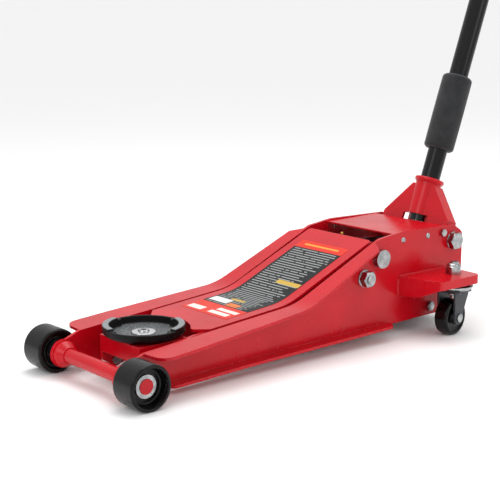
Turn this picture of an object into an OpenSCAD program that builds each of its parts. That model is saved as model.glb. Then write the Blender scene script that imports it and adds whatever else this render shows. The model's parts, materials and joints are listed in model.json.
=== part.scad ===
// Low-profile hydraulic trolley jack: two pressed side plates carry the front axle, a lift arm,
// a closed hydraulic power unit, two swivel casters and a pump handle in a hinged yoke.
// +X points to the saddle end, +Y to the left, +Z up; the jack stands on Z = 0.
// "back" values are distances behind the front axle.

/* [Frame] */
// Distance from the front axle to the rear edge of the side plates
frame_back = 784; // [780:1:860]
// Half of the clear width between the side plates
inner_half = 90; // [86:1:110]
// Thickness of the side plates
plate_t = 6; // [4:0.5:8]
// Height of the top edge at the rear
frame_h = 198; // [192:1:240]
// Width of the top flange at its front end
flange_front_w = 49; // [40:1:54]
// Width of the top flange at its rear end
flange_rear_w = 25; // [20:1:32]
// Thickness of the flanges
flange_t = 5; // [3:0.5:7]
// Width of the bottom lip
lip_w = 24; // [15:1:30]

/* [Front wheels] */
// Diameter of the front wheels
wheel_d = 76; // [60:1:92]
// Width of the front wheels
wheel_w = 52.6; // [42:0.2:64]
// Diameter of the front axle
axle_d = 25; // [20:1:30]
// Depth of the cup in the outer face
wheel_cup = 14; // [8:1:18]

/* [Casters] */
// Diameter of the caster wheels
caster_d = 68; // [56:1:70]
// Width of the caster wheels
caster_w = 28; // [22:1:34]
// Distance from the swivel axis forward to the wheel axle
caster_trail = 10; // [6:1:16]
// Angle that the casters are turned at rest
caster_yaw = 8; // [0:1:30]
// Distance from the front axle back to the swivel axis
swivel_back = 705; // [698:1:720]
// Distance from the side plate's outer face to the swivel axis
swivel_reach = 51; // [46:1:60]
// Height of the top of the caster bracket
bracket_z = 114; // [108:1:130]
// Thickness of the caster bracket's plate
bracket_t = 5; // [4:0.5:7]

/* [Lift arm] */
// Distance from the front axle back to the arm pivot
pivot_back = 556; // [550:1:566]
// Height of the arm pivot
pivot_z = 155; // [150:1:160]
// Diameter of the arm pivot shaft
pivot_d = 25; // [18:1:30]
// Length of the ram lever below the pivot
lever_len = 80; // [74:1:84]
// Half of the arm's swing in degrees
half_swing = 25; // [20:0.5:27]
// Gap between the arm's top plate and the side plates
arm_gap = 8; // [4:0.5:12]

/* [Saddle] */
// Distance from the front axle back to the saddle's centre
saddle_back = 99; // [90:1:106]
// Diameter of the saddle
saddle_d = 138; // [110:1:139]
// Height of the saddle's rim
saddle_top = 92; // [88:1:100]
// Height of the saddle's underside, on top of its bracket
saddle_base = 70; // [66:1:74]
// Gap between the saddle bracket and the tie rods
bracket_gap = 3; // [2:0.5:6]

/* [Power unit] */
// Diameter of the ram
ram_d = 30; // [24:1:34]
// Bore of the hydraulic cylinder
bore_d = 40; // [36:1:44]
// Outer diameter of the hydraulic cylinder
cylinder_d = 52; // [48:1:58]
// Diameter of the oil reservoir
reservoir_d = 82; // [72:1:86]
// Height of the ram's axis
ram_z = 79; // [76:1:82]
// Diameter of the pump plungers
plunger_d = 14; // [10:1:18]

/* [Handle] */
// Distance from the front axle back to the yoke pivot
yoke_back = 756; // [754:1:764]
// Height of the yoke pivot
yoke_z = 164; // [160:1:168]
// Lean of the handle at rest, from upright
handle_lean = 20.5; // [10:0.5:30]
// Diameter of the handle's lower tube
handle_d = 38; // [32:1:46]
// Length from the yoke pivot to the end of the grip
handle_reach = 1045; // [900:5:1200]
// Diameter of the foam bumper
bumper_d = 60; // [50:1:70]
// Diameter of the collar on the socket
collar_d = 58; // [50:1:68]

/* [Hidden] */
$fn = 72;
fillet_steps = 6;
// Radial clearance of every running fit
run = 0.05;
// Clearance between faces of pieces that move past each other
gap = 0.5;

plate_out = inner_half + plate_t;
axle_z = wheel_d / 2;
boss_d = axle_d + 19;
wheel_in = plate_out + 12;
wheel_out = wheel_in + wheel_w;
washer_t = 2.5;
washer_d = axle_d + 13;
axle_half = wheel_out - wheel_cup;

grip_d = 40;
grip_edge = 3;
handle_end_back = yoke_back + (handle_reach - grip_edge) * sin(handle_lean)
    + (grip_d / 2 - grip_edge) * cos(handle_lean) + grip_edge;
// The origin is under the middle of the whole jack, so half of its length lies ahead of it.
axle_x = (handle_end_back - wheel_d / 2) / 2;

flange_front_back = 32;
flange_wide_back = 120;
flange_rear_back = 530;
flange_end = 18;
web_foot_z = 75;
web_foot_len = 44;
web_corner_h = 20;
top_front_z = frame_h - 125;
top_bend_back = 354;
top_bend_z = frame_h - 98.3;
top_rear_back = 556;
lip_front_back = 75;
lip_rear_back = 574;
lip_front_z = 12.6;
lip_rear_z = 25;
lip_end = 15;
lip_mid_back = 230;
lip_mid_z = 18.5;

anchor_back = pivot_back - 38;
anchor_z = pivot_z - 31.5;
anchor_d = 16;
saddle_pin_back = 116;
saddle_pin_z = 54;
saddle_pin_d = 16;
tie_pin_back = saddle_pin_back - (pivot_back - anchor_back);
tie_pin_z = saddle_pin_z - (pivot_z - anchor_z);
tie_pin_d = 12;
arm_half = inner_half - arm_gap;
arm_plate_t = 6;
arm_overhang = 6;
arm_plate_in = arm_half - arm_overhang - arm_plate_t;
arm_top_t = 5;
arm_rear_back = 548;
arm_top_line = [[150, 83.3, 0], [346, 99.6, 150], [arm_rear_back, 187, 0]];
arm_belly = [[440, 104, 60], [360, 72, 60]];
arm_front_r = 19;
arm_pivot_r = 27;
arm_nose_back = 156;
arm_nose_half = 60;
arm_shoulder_back = 176;
saddle_gap = 9;
arm_rib_backs = [230, 330, 430];
rod_t = 6;
rod_gap = 4;
rod_in = arm_plate_in - rod_gap - rod_t;
rim_drop = 3.5;
arc_places = [-40, 140];
arc_half_angle = 36;
arc_step_angle = 10;
arc_w = 11;
saddle_floor_t = 6;
saddle_washer_t = 2.5;
saddle_screw_d = 10;
bracket_half = rod_in - bracket_gap;
bracket_sheet = 6;
bracket_rear_back = 150;
bracket_front_back = 50;
bracket_apron_z = 41;
bracket_ear_z = 27;
tie_eye_r = 11.5;
sleeve_d = pivot_d + 19;
lever_in = 17;
lever_t = 8;
ram_pin_d = 16;
ram_pin_back = pivot_back + lever_len * sin(half_swing);
ram_pin_z = pivot_z - lever_len * cos(half_swing);

block_front_back = 680;
block_rear_back = yoke_back + 20;
block_half = 45;
block_bottom_z = 24;
block_top_z = 112;
gland_front_back = ram_pin_back + 19.5;
gland_t = 12;
gland_d = cylinder_d + 6;
cylinder_front_back = gland_front_back + gland_t;
bore_rear_back = yoke_back + 8;
// The valve's seat stays above the bore
valve_seat_z = ram_z + bore_d / 2 + 3;
valve_d = 14;
piston_t = 18;
piston_rear_back = bore_rear_back - 2;
ram_head_half = 14;
ram_head_len = 34;
ram_head_h = 42;
slot_gap = 0.8;

plunger_y = 28;
push_radius = 26;
push_angle = 25;
push_pin_d = 16;
push_back = yoke_back + push_radius * sin(push_angle);
plunger_z = yoke_z - push_radius + 2;
cap_t = 6;
cap_d = 24;
cap_rear_back = push_back - push_pin_d / 2 - slot_gap;
cap_front_back = cap_rear_back - cap_t;
pump_rear_back = cap_front_back - 44;
pump_front_back = pump_rear_back - 56;
plunger_len = 62;

spring_y = 52;
spring_d = 12;
spring_anchor_back = 700;
spring_anchor_z = ram_pin_z;

cheek_out = inner_half - 6;
cheek_t = 8;
yoke_bolt_d = 20;
yoke_front_v = 14;
yoke_sheet = 6;
yoke_shoulder_u = 34;
collar_top_u = 111;
collar_t = 8;
socket_d = handle_d + 12;
// A slot low in the yoke's front goes through the sheet and the front of the socket
yoke_slot_u = 36;
yoke_slot_half = 32;
yoke_slot_v = 5;
yoke_foot_u = 8;
yoke_top_u = 97;
socket_bottom_u = 18;
lower_start_u = socket_bottom_u + 6;
lower_end_u = 560;
upper_d = 32;
upper_start_u = 480;
bumper_start_u = collar_top_u + 61;
bumper_len = 150;
grip_len = 165;
ball_r = 7.9;
lock_u = 72;
lock_d = 8;
// Place of the push pins in the yoke's own frame
push_v = -push_radius * sin(handle_lean + push_angle);
push_u = -push_radius * cos(handle_lean + push_angle);

swivel_x = axle_x - swivel_back;
swivel_half = plate_out + swivel_reach;
bracket_out = swivel_half + 37;
tray_front_back = 607;
tray_corner_back = 630;
tray_rear_back = 738;
gusset_h = 38;
caster_axle_z = caster_d / 2;
race_d = 72;
kingpin_d = 16;
crown_top_z = 86;
crown_t = 5;
fork_in = caster_w / 2 + 2;
fork_t = 4;
bracket_lip = 16;

cover_front_back = 599;
cover_rear_back = yoke_back - 21;
cover_z = frame_h - 4;
cover_t = 3;
cover_flange = 21;
cover_screw_backs = [619, 686];
cover_screw_z = cover_z - 13;
cover_screw_d = 5;
cover_bolt_back = 727;
cover_bolt_z = cover_z - 12;
cover_bolt_d = 8;
unit_bolt_places = [[694, 43], [760, 50]];
unit_bolt_d = 10;
unit_boss_d = 26;

top_line = [[flange_front_back, top_front_z, 0], [top_bend_back, top_bend_z, 150],
    [top_rear_back, frame_h - 8, 10], [613, frame_h - 1, 60]];
bottom_line = [[lip_rear_back, lip_rear_z, 0], [lip_mid_back, lip_mid_z, 60],
    [lip_front_back, lip_front_z, 0]];

// ---- Outlines with rounded corners: each point is [x, y, corner radius] ----
function unit(v) = v / norm(v);
function xy(p) = [p[0], p[1]];
function shorter_turn(d) = d > 180 ? d - 360 : d < -180 ? d + 360 : d;
function corner(before, p, after, r) =
    let (u = unit(before - p), v = unit(after - p), half = acos(u * v) / 2)
    let (m = p + unit(u + v) * r / sin(half), q0 = p + u * r / tan(half), q1 = p + v * r / tan(half))
    let (a0 = atan2(q0[1] - m[1], q0[0] - m[0]), a1 = atan2(q1[1] - m[1], q1[0] - m[0]))
    [for (i = [0 : fillet_steps])
        let (a = a0 + shorter_turn(a1 - a0) * i / fillet_steps)
        m + r * [cos(a), sin(a)]];
function rounded(p) = [for (i = [0 : len(p) - 1])
    let (n = len(p), before = xy(p[(i + n - 1) % n]), after = xy(p[(i + 1) % n]))
    each (p[i][2] == 0 ? [xy(p[i])] : corner(before, xy(p[i]), after, p[i][2]))];
// Turns [back, z, r] into [x, z, r]
function from_back(p) = [for (q = p) [axle_x - q[0], q[1], q[2]]];

// Extrudes an XZ outline from y0 to y1
module across(y0, y1) {
    translate([0, max(y0, y1), 0])
        rotate([90, 0, 0])
            linear_extrude(abs(y1 - y0))
                children();
}

// A cylinder along Y from y0 to y1, at a distance behind the front axle
module rod_y(back, z, d, y0, y1) {
    translate([axle_x - back, max(y0, y1), z])
        rotate([90, 0, 0])
            cylinder(d = d, h = abs(y1 - y0));
}

// A hexagon head along Y, across flats af
module hex_y(back, z, af, y0, y1) {
    translate([axle_x - back, max(y0, y1), z])
        rotate([90, 0, 0])
            cylinder(d = af / cos(30), h = abs(y1 - y0), $fn = 6);
}

// A cylinder along X between two distances behind the front axle
module rod_x(back0, back1, y, z, d) {
    translate([axle_x - max(back0, back1), y, z])
        rotate([0, 90, 0])
            cylinder(d = d, h = abs(back1 - back0));
}

// ---- Frame ----
module web_outline() {
    polygon(rounded(from_back(concat(
        [[-4, axle_z + boss_d / 2 - 1, 0]],
        top_line,
        [[frame_back - 25, frame_h - 4, 8], [frame_back, frame_h - web_corner_h, 14],
        [frame_back, web_foot_z, 20], [frame_back - web_foot_len, lip_rear_z + 3, 20]],
        bottom_line,
        [[0, axle_z - boss_d / 2 - 1, 0]]))));
    translate([axle_x, axle_z])
        circle(d = boss_d + 4);
}

// The strip that lies under a line of the web, t thick
module strip(line, t) {
    n = len(line);
    low = [for (i = [n - 1 : -1 : 0]) [line[i][0], line[i][1] - t, line[i][2]]];
    polygon(rounded(from_back(concat(line, low))));
}

module flange_plan() {
    polygon(rounded(from_back([[flange_front_back, inner_half, 0],
        [flange_front_back + 4, plate_out + flange_front_w, 22],
        [flange_wide_back, plate_out + flange_front_w - 2, 60],
        [flange_rear_back, plate_out + flange_rear_w, 3],
        [flange_rear_back + flange_end, inner_half + 1, 0]])));
}

module lip_plan() {
    polygon(rounded(from_back([[lip_front_back - lip_end, inner_half + 1, 0],
        [lip_front_back, plate_out + lip_w, 10], [lip_rear_back, plate_out + lip_w, 9],
        [lip_rear_back + 12, inner_half + 1, 0]])));
}

module side_plate() {
    difference() {
        union() {
            across(inner_half, plate_out)
                web_outline();
            intersection() {
                across(inner_half, plate_out + flange_front_w)
                    strip([[flange_front_back - 2, top_front_z, 0], [top_bend_back, top_bend_z, 150],
                        [flange_rear_back + flange_end + 4, frame_h - 10, 0]], flange_t);
                linear_extrude(frame_h + 10)
                    flange_plan();
            }
            intersection() {
                across(inner_half, plate_out + lip_w)
                    strip([[lip_rear_back + 16, lip_rear_z + flange_t + 0.3, 0],
                        [lip_mid_back, lip_mid_z + flange_t, 60],
                        [lip_front_back - lip_end, lip_front_z - 0.7 + flange_t, 0]], flange_t);
                linear_extrude(frame_h)
                    lip_plan();
            }
        }
        side_holes();
    }
}

module side_holes() {
    y0 = inner_half - 1;
    y1 = plate_out + 1;
    rod_y(0, axle_z, axle_d, y0, y1);
    rod_y(pivot_back, pivot_z, pivot_d, y0, y1);
    rod_y(anchor_back, anchor_z, anchor_d, y0, y1);
    rod_y(yoke_back, yoke_z, yoke_bolt_d, y0, y1);
    for (p = unit_bolt_places)
        rod_y(p[0], p[1], unit_bolt_d, y0, y1);
    for (b = cover_screw_backs)
        rod_y(b, cover_screw_z, cover_screw_d, y0, y1);
    rod_y(cover_bolt_back, cover_bolt_z, cover_bolt_d, y0, y1);
}

module left_side_plate() {
    color("#c8102e")
        side_plate();
}

module right_side_plate() {
    color("#c8102e")
        mirror([0, 1, 0])
            side_plate();
}

module front_axle() {
    color("#c8102e")
        rod_y(0, axle_z, axle_d, -axle_half, axle_half);
}

// Collars welded round the axle inside the side plates
module axle_bosses() {
    color("#c8102e")
        for (s = [-1, 1])
            scale_y(s)
                difference() {
                    union() {
                        rod_y(0, axle_z, boss_d, inner_half - 6, inner_half);
                        translate([axle_x, inner_half - 6, axle_z])
                            rotate([90, 0, 0])
                                cylinder(d1 = boss_d, d2 = axle_d + 3, h = 12);
                    }
                    rod_y(0, axle_z, axle_d, 0, inner_half + 1);
                }
}

// Repeats a shape on the right side when s is -1
module scale_y(s) {
    if (s > 0)
        children();
    else
        mirror([0, 1, 0])
            children();
}

// Outer washers that hold the wheels and inner spacers beside the side plates
module axle_washers() {
    color("silver")
        for (s = [-1, 1])
            scale_y(s)
                difference() {
                    union() {
                        rod_y(0, axle_z, washer_d, axle_half - washer_t - 1, axle_half - 1);
                        rod_y(0, axle_z, washer_d, plate_out, wheel_in - gap);
                    }
                    rod_y(0, axle_z, axle_d, inner_half, wheel_out);
                }
}

// Wheel section in [radius, y], with a deep cup outside and a shallow one inside
module front_wheel() {
    r = wheel_d / 2;
    rim = 7;
    hub_out = axle_half - washer_t - 1 - gap;
    color("#1a1a1a")
        translate([axle_x, 0, axle_z])
            rotate([-90, 0, 0])
                rotate_extrude()
                    polygon(rounded([[axle_d / 2 + run, wheel_in, 0], [washer_d / 2 + 3, wheel_in, 0],
                        [washer_d / 2 + 4, wheel_in + 6, 2], [r - rim - 1, wheel_in + 6, 3],
                        [r - rim, wheel_in, 0], [r, wheel_in, 4], [r, wheel_out, 4],
                        [r - rim + 1, wheel_out, 1.5], [r - rim - 2, hub_out, 3],
                        [axle_d / 2 + run, hub_out, 0]]));
}

module left_front_wheel() {
    front_wheel();
}

module right_front_wheel() {
    mirror([0, 1, 0])
        front_wheel();
}

// Folded sheet lid over the power unit, with flanges inside the side plates
module rear_cover() {
    length = cover_rear_back - cover_front_back;
    color("#c8102e")
        difference() {
            union() {
                translate([axle_x - cover_rear_back, -inner_half, cover_z - cover_t])
                    cube([length, 2 * inner_half, cover_t]);
                for (y = [-inner_half, inner_half - cover_t])
                    translate([axle_x - cover_rear_back, y, cover_z - cover_flange])
                        cube([length, cover_t, cover_flange - 1]);
            }
            for (b = cover_screw_backs)
                rod_y(b, cover_screw_z, cover_screw_d, -inner_half - 1, inner_half + 1);
            rod_y(cover_bolt_back, cover_bolt_z, cover_bolt_d, -inner_half - 1, inner_half + 1);
        }
}

module cover_screws() {
    color("silver")
        for (s = [-1, 1], b = cover_screw_backs)
            scale_y(s) {
                rod_y(b, cover_screw_z, cover_screw_d, inner_half - cover_t, plate_out);
                rod_y(b, cover_screw_z, 11, plate_out, plate_out + 2);
            }
}

module cover_bolts() {
    color("silver")
        for (s = [-1, 1])
            scale_y(s) {
                rod_y(cover_bolt_back, cover_bolt_z, cover_bolt_d, inner_half - cover_t, plate_out);
                hex_y(cover_bolt_back, cover_bolt_z, 13, plate_out, plate_out + 6);
            }
}

// ---- Casters ----
module bracket_plan(inset) {
    polygon(rounded(from_back([[tray_front_back + inset, plate_out, 0],
        [tray_corner_back + inset, bracket_out - inset, 6],
        [tray_rear_back - inset, bracket_out - inset, 14],
        [tray_rear_back + 4 - inset, plate_out, 0]])));
}

// Tray of bent plate: a top, a lip all round it and a deep front gusset
module caster_bracket() {
    gusset_front = axle_x - tray_front_back + 7;
    gusset_rear = axle_x - tray_corner_back - 10;
    color("#c8102e")
        difference() {
            union() {
                translate([0, 0, bracket_z - bracket_lip])
                    linear_extrude(bracket_lip)
                        bracket_plan(0);
                intersection() {
                    across(plate_out, bracket_out)
                        polygon([[gusset_rear, bracket_z - gusset_h], [gusset_front, bracket_z - gusset_h],
                            [gusset_front, bracket_z - bracket_t], [gusset_rear, bracket_z - bracket_t]]);
                    translate([0, 0, bracket_z - gusset_h])
                        linear_extrude(gusset_h)
                            difference() {
                                bracket_plan(0);
                                translate([-bracket_t, 0])
                                    bracket_plan(0);
                            }
                    translate([gusset_front, 0, 0])
                        rotate([90, 0, -90])
                            linear_extrude(gusset_front - gusset_rear)
                                polygon([[-plate_out + 1, bracket_z - gusset_h],
                                    [-plate_out - 44, bracket_z - gusset_h + 4],
                                    [-bracket_out - 2, bracket_z - 14], [-bracket_out - 2, bracket_z],
                                    [-plate_out + 1, bracket_z]]);
                }
            }
            translate([0, 0, bracket_z - bracket_lip - 1])
                linear_extrude(bracket_lip - bracket_t + 1)
                    bracket_plan(bracket_t);
            translate([swivel_x, swivel_half, 0])
                cylinder(d = kingpin_d, h = bracket_z + 1);
        }
}

module left_caster_bracket() {
    caster_bracket();
}

module right_caster_bracket() {
    mirror([0, 1, 0])
        caster_bracket();
}

// Places a shape at each swivel axis
module at_swivels() {
    for (s = [-1, 1])
        translate([swivel_x, s * swivel_half, 0])
            children();
}

// Headed pins that hold the forks up against the brackets
module caster_kingpins() {
    color("silver")
        at_swivels() {
            translate([0, 0, crown_top_z - crown_t - 6])
                cylinder(d = kingpin_d + 7, h = 6 - 2 * run);
            translate([0, 0, crown_top_z - crown_t - 3])
                cylinder(d = kingpin_d, h = bracket_z - crown_top_z + crown_t + 26);
        }
}

module caster_nuts() {
    color("silver")
        at_swivels()
            difference() {
                union() {
                    translate([0, 0, bracket_z])
                        cylinder(d = 27 / cos(30), h = 15, $fn = 6);
                    translate([0, 0, bracket_z + 15])
                        cylinder(d1 = 25, d2 = 21, h = 6);
                }
                translate([0, 0, bracket_z - 1])
                    cylinder(d = kingpin_d, h = 30);
            }
}

// Ball race between the bracket and the fork's crown
module caster_races() {
    color("silver")
        at_swivels()
            translate([0, 0, crown_top_z + gap])
                rotate_extrude()
                    polygon(rounded([[kingpin_d / 2, 0, 0], [race_d / 2 - 4, 0, 0], [race_d / 2, 4, 2],
                        [race_d / 2, 7, 1], [24, 8, 3],
                        [22, bracket_z - bracket_t - crown_top_z - gap, 0],
                        [kingpin_d / 2, bracket_z - bracket_t - crown_top_z - gap, 0]]));
}

// Turns a shape from the caster's own frame to the swivel on side s
module at_caster(s) {
    translate([swivel_x, s * swivel_half, 0])
        rotate([0, 0, s * caster_yaw])
            children();
}

module caster_fork(s) {
    w = fork_in + fork_t;
    color("#4a4b50")
        at_caster(s)
            difference() {
                union() {
                    translate([0, 0, crown_top_z - crown_t])
                        intersection() {
                            cylinder(d = 66, h = crown_t);
                            translate([-26, -w - 6, 0])
                                cube([52, 2 * w + 12, crown_t]);
                        }
                    for (y = [-w, fork_in])
                        across(y, y + fork_t)
                            polygon(rounded([[-25, crown_top_z, 8], [25, crown_top_z, 8],
                                [caster_trail + 13, caster_axle_z + 12, 12],
                                [caster_trail + 13, caster_axle_z - 13, 12],
                                [caster_trail - 13, caster_axle_z - 13, 12],
                                [caster_trail - 15, caster_axle_z + 12, 12]]));
                }
                translate([0, 0, crown_top_z - crown_t - 1])
                    cylinder(d = kingpin_d + 2 * run, h = crown_t + 2);
                translate([caster_trail, w + 1, caster_axle_z])
                    rotate([90, 0, 0])
                        cylinder(d = 10, h = 2 * w + 2);
            }
}

module left_caster_fork() {
    caster_fork(1);
}

module right_caster_fork() {
    caster_fork(-1);
}

module caster_wheel(s) {
    r = caster_d / 2;
    h = caster_w / 2;
    color("#161616")
        at_caster(s)
            translate([caster_trail, 0, caster_axle_z])
                rotate([90, 0, 0])
                    rotate_extrude()
                        polygon(rounded([[5 + run, -h - 1.5, 0], [11, -h - 1.5, 1], [13, -h + 4, 2],
                            [r - 8, -h + 4, 2], [r - 6, -h, 1], [r, -h, 5], [r, h, 5], [r - 6, h, 1],
                            [r - 8, h - 4, 2], [13, h - 4, 2], [11, h + 1.5, 1], [5 + run, h + 1.5, 0]]));
}

module left_caster_wheel() {
    caster_wheel(1);
}

module right_caster_wheel() {
    caster_wheel(-1);
}

module caster_axle(s) {
    w = fork_in + fork_t;
    color("silver")
        at_caster(s)
            translate([caster_trail, 0, caster_axle_z])
                rotate([90, 0, 0]) {
                    cylinder(d = 10, h = 2 * w, center = true);
                    for (z = [-w - 3, w])
                        translate([0, 0, z])
                            cylinder(d = 16, h = 3);
                }
}

module left_caster_axle() {
    caster_axle(1);
}

module right_caster_axle() {
    caster_axle(-1);
}

// ---- Lift arm ----
module arm_pivot_shaft() {
    head_t = 12;
    color("silver") {
        rod_y(pivot_back, pivot_z, pivot_d, -plate_out, plate_out);
        for (s = [-1, 1])
            scale_y(s)
                rod_y(pivot_back, pivot_z, pivot_d + 9, plate_out, plate_out + head_t);
    }
}

// Side plate outline: it follows the top plate, and clears the tie rod's anchor bolt
module arm_outline() {
    difference() {
        union() {
            polygon(rounded(from_back(concat([[saddle_pin_back, saddle_pin_z + arm_front_r, 0]],
                [for (p = arm_top_line) [p[0], p[1] - arm_top_t, p[2]]],
                [[pivot_back + arm_pivot_r, pivot_z + 4, 10], [pivot_back + 18, pivot_z - 22, 10],
                [pivot_back - 26, pivot_z - 12, 8]],
                arm_belly,
                [[saddle_pin_back, saddle_pin_z - arm_front_r, 0]]))));
            translate([axle_x - saddle_pin_back, saddle_pin_z])
                circle(r = arm_front_r);
            translate([axle_x - pivot_back, pivot_z])
                circle(r = arm_pivot_r);
        }
        translate([axle_x - saddle_pin_back, saddle_pin_z])
            circle(d = saddle_pin_d + 2 * run);
        translate([axle_x - pivot_back, pivot_z])
            circle(d = pivot_d + 2 * run);
    }
}

module left_arm_plate() {
    color("#c8102e")
        across(arm_plate_in, arm_plate_in + arm_plate_t)
            arm_outline();
}

module right_arm_plate() {
    color("#c8102e")
        across(-arm_plate_in - arm_plate_t, -arm_plate_in)
            arm_outline();
}

// Bent top plate, scooped at the front to clear the saddle
module arm_top_plate() {
    color("#c8102e")
        intersection() {
            across(-arm_half, arm_half)
                strip(arm_top_line, arm_top_t);
            linear_extrude(frame_h)
                difference() {
                    polygon(rounded(from_back([[arm_nose_back, -arm_nose_half, 4],
                        [arm_nose_back, arm_nose_half, 4], [arm_shoulder_back, arm_half, 3],
                        [arm_rear_back, arm_half, 6], [arm_rear_back, -arm_half, 6],
                        [arm_shoulder_back, -arm_half, 3]])));
                    translate([axle_x - saddle_back, 0])
                        circle(r = saddle_d / 2 + saddle_gap);
                }
        }
}

// Cross ribs welded under the top plate, between the tie rods
module arm_ribs() {
    rib_half = rod_in - 4;
    color("#c8102e")
        intersection() {
            for (b = arm_rib_backs)
                across(-rib_half, rib_half)
                    translate([axle_x - b, 0])
                        square([6, frame_h]);
            across(-rib_half, rib_half)
                strip([for (p = arm_top_line) [p[0], p[1] - arm_top_t, p[2]]], 26);
        }
}

// Tube that turns on the pivot shaft and ties the arm's side plates together
module pivot_sleeve() {
    color("#c8102e")
        difference() {
            rod_y(pivot_back, pivot_z, sleeve_d, -arm_plate_in, arm_plate_in);
            rod_y(pivot_back, pivot_z, pivot_d + 2 * run, -arm_plate_in - 1, arm_plate_in + 1);
            translate([axle_x - pivot_back - 4, -6, pivot_z + pivot_d / 2 - 2])
                cylinder(d = 6, h = sleeve_d / 2);
        }
}

// Lever plates that hang from the sleeve on each side of the ram
module ram_levers() {
    color("#a50d26")
        for (y = [-lever_in - lever_t, lever_in])
            difference() {
                across(y, y + lever_t)
                    translate([axle_x - pivot_back, pivot_z])
                        rotate(-half_swing) {
                            circle(d = sleeve_d + 10);
                            translate([0, -lever_len])
                                circle(r = 15);
                            translate([-15, -lever_len])
                                square([30, lever_len]);
                        }
                rod_y(pivot_back, pivot_z, sleeve_d, y - 1, y + lever_t + 1);
                rod_y(ram_pin_back, ram_pin_z, ram_pin_d, y - 1, y + lever_t + 1);
            }
}

// Cross pin through the lever plates, with waisted ends for the return springs
module ram_pin() {
    color("silver") {
        rod_y(ram_pin_back, ram_pin_z, ram_pin_d, -spring_y + 6, spring_y - 6);
        rod_y(ram_pin_back, ram_pin_z, 6, -spring_y - 3, spring_y + 3);
        for (s = [-1, 1])
            scale_y(s)
                rod_y(ram_pin_back, ram_pin_z, 10, spring_y + 3, spring_y + 5);
    }
}

// Fitting for grease, screwed into the sleeve
module grease_nipple() {
    z0 = pivot_z + pivot_d / 2 - 0.5;
    top = pivot_z + sleeve_d / 2;
    color("#c9a24a")
        translate([axle_x - pivot_back - 4, -6, 0]) {
            translate([0, 0, z0 + 1])
                cylinder(d = 6, h = top - z0);
            translate([0, 0, top])
                cylinder(d = 9, h = 4, $fn = 6);
            translate([0, 0, top + 4])
                cylinder(d1 = 6.5, d2 = 4.2, h = 4);
            translate([0, 0, top + 9])
                sphere(d = 6);
        }
}

// Bolts that carry the rear eyes of the tie rods
module anchor_bolts() {
    color("silver")
        for (s = [-1, 1])
            scale_y(s) {
                rod_y(anchor_back, anchor_z, anchor_d, rod_in - 1, plate_out + 19);
                rod_y(anchor_back, anchor_z, anchor_d + 6, rod_in - 5, rod_in - 1);
                rod_y(anchor_back, anchor_z, anchor_d + 5, rod_in + rod_t + 1, arm_plate_in - 1);
            }
}

module anchor_nuts() {
    color("silver")
        for (s = [-1, 1])
            scale_y(s)
                difference() {
                    union() {
                        rod_y(anchor_back, anchor_z, 32, plate_out, plate_out + 3);
                        hex_y(anchor_back, anchor_z, 27, plate_out + 3, plate_out + 17);
                    }
                    rod_y(anchor_back, anchor_z, anchor_d, plate_out - 1, plate_out + 18);
                }
}

// Flat bar with an eye at each end, parallel to the arm, that keeps the saddle level
module tie_rod(y0) {
    dx = anchor_back - tie_pin_back;
    dz = anchor_z - tie_pin_z;
    length = norm([dx, dz]);
    color("#a50d26")
        difference() {
            across(y0, y0 + rod_t)
                translate([axle_x - anchor_back, anchor_z])
                    rotate(-atan2(dz, dx)) {
                        circle(r = 14);
                        translate([length, 0])
                            circle(r = tie_eye_r);
                        translate([0, -8])
                            square([length, 16]);
                    }
            rod_y(anchor_back, anchor_z, anchor_d + 2 * run, y0 - 1, y0 + rod_t + 1);
            rod_y(tie_pin_back, tie_pin_z, tie_pin_d + 2 * gap, y0 - 1, y0 + rod_t + 1);
        }
}

module left_tie_rod() {
    tie_rod(rod_in);
}

module right_tie_rod() {
    tie_rod(-rod_in - rod_t);
}

// ---- Saddle ----
module saddle_bracket() {
    t = bracket_sheet;
    top = saddle_base;
    pin_half = arm_half;
    color("#c8102e")
        difference() {
            union() {
                translate([axle_x - bracket_rear_back, -bracket_half, top - t])
                    cube([bracket_rear_back - bracket_front_back, 2 * bracket_half, t]);
                translate([axle_x - bracket_front_back - t, -bracket_half, bracket_apron_z])
                    cube([t, 2 * bracket_half, top - bracket_apron_z]);
                for (y = [-bracket_half, bracket_half - t])
                    across(y, y + t) {
                        polygon(rounded(from_back([[bracket_front_back, top, 0],
                            [bracket_front_back, bracket_ear_z, 4],
                            [tie_pin_back - 9, tie_pin_z - 8, 5], [tie_pin_back + 11, tie_pin_z - 8, 8],
                            [bracket_rear_back, 46, 8], [bracket_rear_back, top, 0]])));
                        translate([axle_x - tie_pin_back, tie_pin_z])
                            circle(r = tie_eye_r);
                    }
                translate([axle_x - saddle_back, 0, top - 16])
                    cylinder(d = 16, h = 12);
            }
            translate([axle_x - saddle_back, 0, top - 17])
                cylinder(d = saddle_screw_d, h = 20);
            rod_y(saddle_pin_back, saddle_pin_z, saddle_pin_d, -pin_half, pin_half);
            rod_y(tie_pin_back, tie_pin_z, tie_pin_d, -pin_half, pin_half);
        }
}

// Pin through the front ends of the arm and the bracket
module saddle_pin() {
    half = arm_plate_in + arm_plate_t + 1;
    color("silver") {
        rod_y(saddle_pin_back, saddle_pin_z, saddle_pin_d, -half - 1, half + 1);
        for (s = [-1, 1])
            scale_y(s)
                rod_y(saddle_pin_back, saddle_pin_z, saddle_pin_d + 6, half, half + 3);
    }
}

module tie_rod_pins() {
    color("silver")
        for (s = [-1, 1])
            scale_y(s) {
                rod_y(tie_pin_back, tie_pin_z, tie_pin_d, bracket_half - 6, rod_in + rod_t + 1);
                rod_y(tie_pin_back, tie_pin_z, tie_pin_d + 5, rod_in + rod_t + 1, rod_in + rod_t + 3);
                rod_y(tie_pin_back, tie_pin_z, tie_pin_d + 5, bracket_half - 9, bracket_half - 6);
            }
}

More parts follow.
